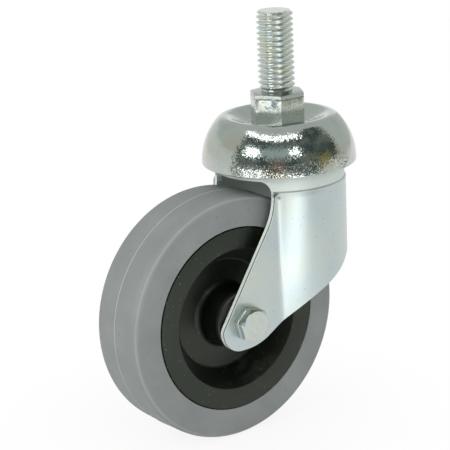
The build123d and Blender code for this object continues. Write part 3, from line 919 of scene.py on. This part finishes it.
def polished_dome():
    """The domed cup, turned fine enough for clean reflections. Its sheet edge is rounded."""
    low, high = box_mm("dome_cup")
    wall = math.radians(DISH_WALL_ANGLE)
    rounds = DOME_CREST_ROUND + DISH_FLOOR_ROUND
    floor_z = -STEM_HEX_HEIGHT
    floor_r = STEM_ACROSS_FLATS / math.sqrt(3) + DISH_CLEARANCE
    wall_length = (high.z - floor_z - rounds * (1 - math.cos(wall))) / math.sin(wall)
    track_r = floor_r + rounds * math.sin(wall) + wall_length * math.cos(wall)
    crest_c = (track_r, high.z - DOME_CREST_ROUND)
    side_r = high.x - DOME_SIDE_ROUND
    gap = DOME_SIDE_ROUND - DOME_CREST_ROUND
    lean = math.degrees(math.acos((track_r - side_r) / gap))
    side_c = (side_r, crest_c[1] - gap * math.sin(math.radians(lean)))
    floor_c = (floor_r, floor_z + DISH_FLOOR_ROUND)

    def face(offset):
        """The sheet's face, offset millimetres in from the outer one."""
        points = [(KINGPIN_DIAMETER / 2, floor_z - offset)]
        points += arc(floor_c, DISH_FLOOR_ROUND + offset, -90, -90 + DISH_WALL_ANGLE, 12)
        points += arc(crest_c, DOME_CREST_ROUND - offset, 90 + DISH_WALL_ANGLE, lean, 36)
        points += arc(side_c, DOME_SIDE_ROUND - offset, lean, 0, 48)[1:]
        return points

    inner_r = high.x - DOME_SHEET
    lip_c = (high.x - DOME_EDGE_ROUND - DOME_EDGE_INSET, low.z + DOME_EDGE_ROUND)
    lip = arc(lip_c, DOME_EDGE_ROUND, 10, -90, 8)
    lip += [(inner_r + DOME_EDGE_CHAMFER, low.z), (inner_r, low.z + DOME_EDGE_CHAMFER)]
    bm = bmesh.new()
    outline = face(0.0) + lip + list(reversed(face(DOME_SHEET)))
    spin(bm, outline, Matrix.Identity(4), segments=320)
    piece("polished_dome", bm, "dome_zinc", "head", "dome_cup")


# ---------------------------------------------------------------- wheel

WHEEL_PLACE = Matrix.Translation((AXLE_X, 0, AXLE_Z)) @ Matrix.Rotation(math.radians(-90), 4, "X")


def moulded_tyre():
    """The tyre: lightly crowned tread with a mould parting line, firm shoulders, plain sides."""
    low, high = box_mm("tyre")
    radius = (high.z - low.z) / 2
    half = (high.y - low.y) / 2
    corners = [
        (radius, 0.0, 0.0),
        (radius - TYRE_CROWN, half - TYRE_SHOULDER_DROP, TYRE_SHOULDER_ROUND),
        (RIM_RADIUS + TYRE_SIDE_STEP, half, TYRE_SIDE_ROUND),
        (RIM_RADIUS, half, TYRE_INNER_ROUND),
        (RIM_RADIUS, half - TYRE_LIP, 0.0),
        (RIM_BED_RADIUS, half - TYRE_LIP, 0.0),
        (RIM_BED_RADIUS, 0.0, 0.0),
    ]
    side = rounded(corners, steps=10)[1:-1]
    tread = [
        (radius - RIDGE_CREST_DROP, 0.0),
        (radius - RIDGE_FLANK_DROP, RIDGE_FLANK),
        (radius - TREAD_DROP, RIDGE_FOOT),
    ]
    rows = 8
    for i in range(1, rows + 1):
        height = RIDGE_FOOT + (half - TREAD_EDGE - RIDGE_FOOT) * i / rows
        drop = TREAD_DROP + (TYRE_CROWN - TREAD_DROP) * (height / half) ** 2
        tread.append((radius - drop, height))
    upper = tread + side
    bm = bmesh.new()
    spin(bm, upper + [(r, -h) for r, h in reversed(upper[1:])], WHEEL_PLACE, segments=256)
    piece("moulded_tyre", bm, "rubber_grey", "wheel", "tyre")


def moulded_centre():
    """The wheel centre: hub, web, dished recess and flange, the same on both sides."""
    _, high = box_mm("wheel_centre")
    corners = [
        (HUB_BORE_RADIUS, high.y, 0.0),
        (HUB_RADIUS, high.y, HUB_END_ROUND),
        (HUB_RADIUS, WEB_HALF_AT_HUB, HUB_FILLET),
        (RECESS_FLOOR_RADIUS, WEB_HALF_AT_WALL, RECESS_FLOOR_FILLET),
        (RECESS_MOUTH_RADIUS, FLANGE_HALF, FLANGE_EDGE_ROUND),
        (RIM_RADIUS, FLANGE_HALF, FLANGE_EDGE_ROUND),
        (RIM_RADIUS, RIM_BED_HALF, 0.0),
        (RIM_BED_RADIUS, RIM_BED_HALF, 0.0),
    ]
    half = rounded(corners, steps=8)
    bm = bmesh.new()
    spin(bm, half + [(r, -h) for r, h in reversed(half)], WHEEL_PLACE, segments=256)
    piece("moulded_wheel_centre", bm, "polypropylene_black", "wheel", "wheel_centre")


# ---------------------------------------------------------------- axle bolt


def finished_bolt():
    """Hexagon bolt: headed blank with a trim groove round its flats, shank and rolled thread."""
    bm = bmesh.new()
    place = Matrix.Translation((AXLE_X, -CHEEK_FACE, AXLE_Z)) @ Matrix.Rotation(
        math.radians(90), 4, "X"
    )
    # Height, inset and tear of each level, with the trim groove about halfway up.
    levels = [
        (0.0, BOLT_FOOT_CHAMFER, 0.0),
        (BOLT_FOOT_CHAMFER, 0.0, 0.0),
        (BOLT_GROOVE_LOW, 0.0, 0.03),
        (BOLT_GROOVE_LOW + 0.17, BOLT_GROOVE_DEPTH, 0.04),
        (BOLT_GROOVE_HIGH - 0.2, BOLT_GROOVE_DEPTH, 0.04),
        (BOLT_GROOVE_HIGH, 0.02, 0.03),
        (BOLT_FLATS_TOP, 0.02, 0.0),
    ]
    crown = hex_levels(
        bm,
        BOLT_ACROSS_FLATS,
        levels,
        BOLT_HEAD_HEIGHT,
        BOLT_CROWN_DIAMETER / 2,
        BOLT_CROWN_SLOPE,
        place,
        turn=BOLT_HEAD_TURN,
        corner=BOLT_CORNER_ROUND,
    )
    bm.faces.new(crown)
    along = place @ Matrix.Rotation(math.radians(180), 4, "X")
    length = CHEEK_FACE + BOLT_END
    thread_z = length - BOLT_THREAD_LENGTH
    thread(
        bm,
        along,
        BOLT_PITCH,
        BOLT_CREST_RADIUS,
        BOLT_ROOT_RADIUS,
        thread_z,
        length,
        BOLT_THREAD_START,
        BOLT_END_RADIUS,
        0.0,
        segments=64,
    )
    shank = BOLT_DIAMETER / 2
    plain_z = thread_z + BOLT_THREAD_OVERLAP
    plain = [(ON_AXIS, 0.0), (shank, 0.0), (shank, plain_z), (ON_AXIS, plain_z)]
    spin(bm, plain, along, segments=64)
    bmesh.ops.remove_doubles(bm, verts=bm.verts, dist=SAME_POINT * MM)
    end_y = BOLT_END * MM
    near = 0.01 * MM
    end_edges = [
        e
        for e in bm.edges
        if e.is_boundary and all(abs(v.co.y - end_y) < near for v in e.verts)
    ]
    bmesh.ops.triangle_fill(bm, edges=end_edges, use_beauty=True)
    piece("headed_bolt", bm, "hardware_zinc", "swivel", "axle_bolt", crease=25)


# ---------------------------------------------------------------- carried-over nodes


def finish_cad_nodes():
    """Every CAD node gets its own slot's material."""
    slots = {s["node"]: s["material_slot"] for s in frame["record"]["subparts"]}
    for name, node in cad_nodes.items():
        node.data.materials.clear()
        node.data.materials.append(MATERIALS[slots[name]])


# ---------------------------------------------------------------- studio, in metres

# Lamps and cards are placed in degrees right of the camera, which stands at VIEW_AZIMUTH.
VIEW_AZIMUTH = -126.5434
FLOOR_Z = cad_box[0].z
LAMP_DISTANCE = 1.2
LAMP_AIM = Vector((0, 0, -0.015))
FLAG_DISTANCE = 1.6
CARD_DISTANCE = 1.55
NEAR_CARD_DISTANCE = 1.5
CEILING_Z = 2.5
WALL_TOP_Z = 0.45
FLOOR_FLAG_Z = FLOOR_Z + 0.002
FLOOR_CARD_Z = FLOOR_Z + 0.003
NECK_CARD_Z = FLOOR_Z + 0.004
CLOTH_PATCHES_PER_METRE = 2.4


def studio_camera():
    """The camera, set by where it looks from and at."""
    elevation = 16.3374
    roll = -2.4929
    distance = 553.82 * MM
    target = Vector((-22.976, 0, -40.156)) * MM
    data = bpy.data.cameras.new("camera")
    data.sensor_width = 36.0
    data.lens = 138.66
    data.clip_start = 0.01
    data.clip_end = 20.0
    camera = bpy.data.objects.new("camera", data)
    bpy.context.scene.collection.objects.link(camera)
    camera.matrix_world = (
        Matrix.Translation(target)
        @ Matrix.Rotation(math.radians(VIEW_AZIMUTH + 90), 4, "Z")
        @ Matrix.Rotation(math.radians(90 - elevation), 4, "X")
        @ Matrix.Rotation(math.radians(roll), 4, "Z")
        @ Matrix.Translation((0, 0, distance))
    )
    bpy.context.scene.camera = camera


def softbox(name, azimuth, elevation, width, height, power):
    """A rectangular white lamp that faces the castor, azimuth degrees right of the camera.

    Its width and height are the degrees it takes up. It lights matt surfaces only: shiny ones
    show the cards instead."""
    data = bpy.data.lights.new(name, "AREA")
    data.shape = "RECTANGLE"
    data.size = 2 * LAMP_DISTANCE * math.tan(math.radians(width / 2))
    data.size_y = 2 * LAMP_DISTANCE * math.tan(math.radians(height / 2))
    data.energy = power
    lamp = bpy.data.objects.new(name, data)
    bpy.context.scene.collection.objects.link(lamp)
    a = math.radians(VIEW_AZIMUTH + azimuth)
    e = math.radians(elevation)
    away = Vector((math.cos(a) * math.cos(e), math.sin(a) * math.cos(e), math.sin(e)))
    lamp.location = away * LAMP_DISTANCE + LAMP_AIM
    lamp.rotation_mode = "QUATERNION"
    lamp.rotation_quaternion = away.to_track_quat("Z", "Y")
    lamp.visible_camera = False
    lamp.visible_glossy = False


def stage_mesh(name, bm, material):
    """A mesh that belongs to the studio and not to the castor."""
    mesh = bpy.data.meshes.new(name)
    bm.to_mesh(mesh)
    bm.free()
    made = bpy.data.objects.new(name, mesh)
    bpy.context.scene.collection.objects.link(made)
    mesh.materials.append(material)
    return made


def card(name, colour, strength=1.0):
    """A plain card beside the bench, which metal shows as a lighter or darker zone."""
    material, tree = empty_material(name)
    glow = add(tree, "Emission", {"Color": linear(colour), "Strength": strength})
    add(tree, "OutputMaterial", {"Surface": glow})
    return material


def room_cloth():
    """Dark unevenly lit cloth in front of the bench, which polished metal shows as patches."""
    material, tree = empty_material("dark_cloth")
    place = add(tree, "TexCoord", out="Object")
    patches = add(
        tree, "TexNoise", {"Vector": place, "Scale": CLOTH_PATCHES_PER_METRE, "Detail": 2.0}
    )
    tone = add(
        tree,
        "ValToRGB",
        {"Fac": patches},
        stops=[(0.3, "#2E3534"), (0.46, "#57625F"), (0.6, "#7C8580"), (0.72, "#938B6C")],
    )
    glow = add(tree, "Emission", {"Color": tone, "Strength": 1.0})
    add(tree, "OutputMaterial", {"Surface": glow})
    return material


def flag(name, left, right, inner, outer, material):
    """A curved panel between two (distance, height) edges, from left to right in degrees right of
    the camera. Only shiny surfaces show it."""
    bm = bmesh.new()
    steps = 32
    columns = []
    for i in range(steps + 1):
        a = math.radians(VIEW_AZIMUTH + left + (right - left) * i / steps)
        columns.append(
            [bm.verts.new((r * math.cos(a), r * math.sin(a), z)) for r, z in (inner, outer)]
        )
    for first, second in zip(columns, columns[1:]):
        bm.faces.new((first[0], second[0], second[1], first[1]))
    made = stage_mesh(name, bm, material)
    made.visible_camera = False
    made.visible_diffuse = False
    made.visible_shadow = False


def seen_or_mirrored(tree):
    """1 on rays from the camera, off a shiny surface or through a clear one, and 0 on others."""
    path = add(tree, "LightPath").node
    mirrored = add(
        tree,
        "Math",
        {0: path.outputs["Is Glossy Ray"], 1: path.outputs["Is Transmission Ray"]},
        operation="MAXIMUM",
    )
    return add(tree, "Math", {0: path.outputs["Is Camera Ray"], 1: mirrored}, operation="MAXIMUM")


def studio_floor():
    """A pale floor that fades to plain white away from the castor."""
    bm = bmesh.new()
    bmesh.ops.create_circle(bm, cap_ends=True, segments=96, radius=6.0)
    material, tree = empty_material("white_paper_sweep")
    matt = add(tree, "BsdfDiffuse", {"Color": linear("#F4F4F4")})
    white = add(tree, "Emission", {"Color": linear("#FFFFFF"), "Strength": 1.0})
    place = add(tree, "TexCoord", out="Object")
    reach = add(tree, "VectorMath", {0: place}, out="Value", operation="LENGTH")
    seen = seen_or_mirrored(tree)
    fade = add(
        tree,
        "MapRange",
        {"Value": reach, "From Min": 0.0, "From Max": 0.1, "To Min": 0.86},
        interpolation_type="SMOOTHSTEP",
    )
    factor = add(tree, "Math", {0: seen, 1: fade}, operation="MULTIPLY")
    mixed = add(tree, "MixShader", {0: factor, 1: matt, 2: white})
    add(tree, "OutputMaterial", {"Surface": mixed})
    floor = stage_mesh("floor", bm, material)
    floor.location = (AXLE_X * MM, 0, FLOOR_Z)


def studio_world():
    """White walls: full white where seen or mirrored, and a soft even fill on matt surfaces."""
    world = bpy.data.worlds.new("studio")
    bpy.context.scene.world = world
    world.use_nodes = True
    tree = world.node_tree
    tree.nodes.clear()
    seen = seen_or_mirrored(tree)
    strength = add(tree, "MapRange", {"Value": seen, "To Min": 0.58, "To Max": 1.0})
    light = add(tree, "Background", {"Color": linear("#FFFFFF"), "Strength": strength})
    add(tree, "OutputWorld", {"Surface": light})


def studio_cards():
    """Cloth, walls and cards round the bench: what the dome, stem and fork show of the room."""
    cloth = room_cloth()
    grey = card("grey_card", "#D2D6D3")
    pale = card("pale_card", "#EDEFED")
    window = card("hot_card", "#FFFFFF", 6.0)
    bright = card("bright_card", "#FFFFFF", 3.1)
    crest = card("crest_glow", "#FFFFFF", 6.0)
    left = card("left_glow", "#FFFFFF", 4.0)
    mist = card("mist_card", "#B9C4C5")
    shade = card("shade_card", "#D8DDD9")
    brown = card("brown_card", "#9A7563")
    olive = card("olive_card", "#A09A63")

    # The room itself: dark cloth in front and below, grey ceiling and back, and two side walls.
    flag("front_flag", -72, 98, (FLAG_DISTANCE, -0.03), (FLAG_DISTANCE, CEILING_Z), cloth)
    flag("floor_flag", -72, 62, (0.33, FLOOR_FLAG_Z), (CARD_DISTANCE, FLOOR_FLAG_Z), cloth)
    flag("ceiling_flag", -180, 180, (0.01, CEILING_Z), (FLAG_DISTANCE, CEILING_Z), grey)
    flag("back_flag", 98, 288, (FLAG_DISTANCE, WALL_TOP_Z), (FLAG_DISTANCE, CEILING_Z), grey)
    flag("right_wall", 98, 165, (FLAG_DISTANCE, FLOOR_Z), (FLAG_DISTANCE, WALL_TOP_Z), grey)
    flag("left_wall", 200, 288, (FLAG_DISTANCE, FLOOR_Z), (FLAG_DISTANCE, WALL_TOP_Z), pale)

    # Lit panels and coloured cards, which the dome shows as its highlights and patches.
    flag("crest_card", -80, 46, (CARD_DISTANCE, 1.97), (CARD_DISTANCE, 2.26), crest)
    flag("mist_card", -62, 34, (1.57, 0.5), (1.57, 1.1), mist)
    flag("left_window", -57, -37, (NEAR_CARD_DISTANCE, 0.61), (NEAR_CARD_DISTANCE, 0.9), window)
    flag("right_window", 17.5, 30.5, (NEAR_CARD_DISTANCE, 0.65), (NEAR_CARD_DISTANCE, 0.9), window)
    flag("brown_card", -12, 4, (NEAR_CARD_DISTANCE, 0.0), (NEAR_CARD_DISTANCE, 0.3), brown)
    flag("olive_card", 60, 78, (NEAR_CARD_DISTANCE, -0.1), (NEAR_CARD_DISTANCE, 0.3), olive)

    # Cards laid on the floor, which faces that look down show.
    flag("left_card", -60, -24, (0.4, FLOOR_CARD_Z), (0.66, FLOOR_CARD_Z), left)
    flag("neck_card", -16, 24, (0.27, NECK_CARD_Z), (0.34, NECK_CARD_Z), bright)
    flag("right_card_near", 17, 40, (0.1, FLOOR_CARD_Z), (0.19, FLOOR_CARD_Z), bright)
    flag("right_card_far", 10, 37, (0.19, FLOOR_CARD_Z), (0.28, FLOOR_CARD_Z), bright)
    flag("shade_card", 66, 90, (0.36, FLOOR_CARD_Z), (0.66, FLOOR_CARD_Z), shade)


# ---------------------------------------------------------------- build

studio_camera()
studio_floor()
studio_world()
studio_cards()
softbox("left_softbox", -47.0, 27.0, 34, 26, 6.0)
softbox("right_softbox", 24.5, 28.0, 30, 22, 3.4)

finished_stem()
polished_dome()
moulded_tyre()
moulded_centre()
finished_bolt()
finish_cad_nodes()

bpy.context.scene.view_settings.view_transform = "Standard"
